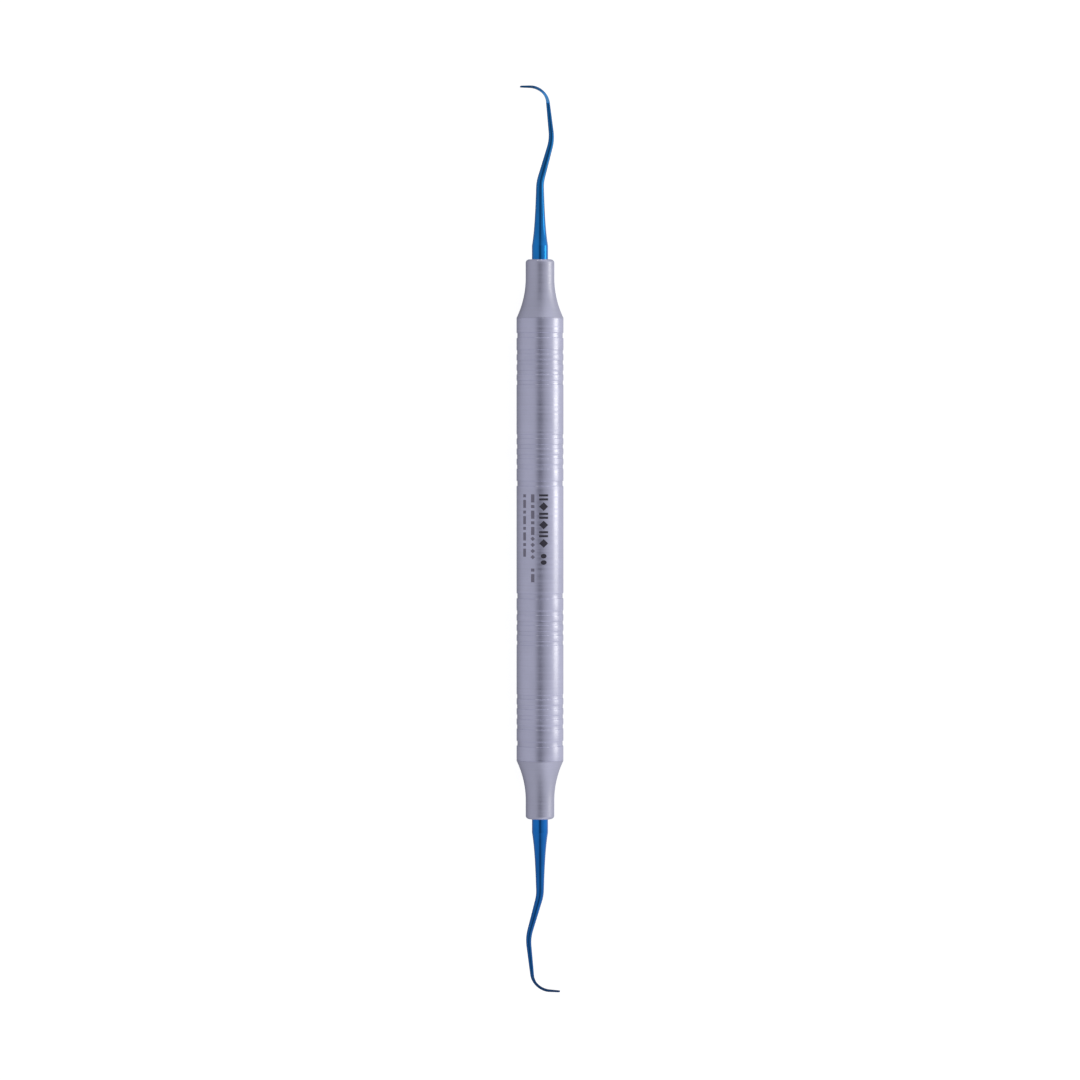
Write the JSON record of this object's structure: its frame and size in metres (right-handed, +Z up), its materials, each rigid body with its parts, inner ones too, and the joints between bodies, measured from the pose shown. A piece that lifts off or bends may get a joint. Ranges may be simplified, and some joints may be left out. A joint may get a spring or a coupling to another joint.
{
  "type": "hand scaler",
  "caption": "Slim dental hand scaler with a hollow ring-grooved steel handle and a mirrored pair of hooked blue sickle ends, for scaling teeth by hand.",
  "frame": {"origin": "middle of the instrument, on the handle's axis", "axes": "+X along the handle towards the upper working end, +Z up when the instrument lies on a tray with both hooks level, +Y completes the frame and is the side that the upper hook points to"},
  "size_m": [0.1792, 0.0094, 0.0094],
  "materials": {
    "barrel_steel": "satin stainless steel, turned, with fine lines around the axis",
    "cone_steel": "satin stainless steel, turned",
    "blue_coating": "polished stainless steel with a thin, hard blue coating"
  },
  "bodies": {
    "root": {"handle_tube": "barrel_steel", "upper_cone": "cone_steel", "lower_cone": "cone_steel", "upper_working_end": "blue_coating", "lower_working_end": "blue_coating"}
  },
  "joints": []
}
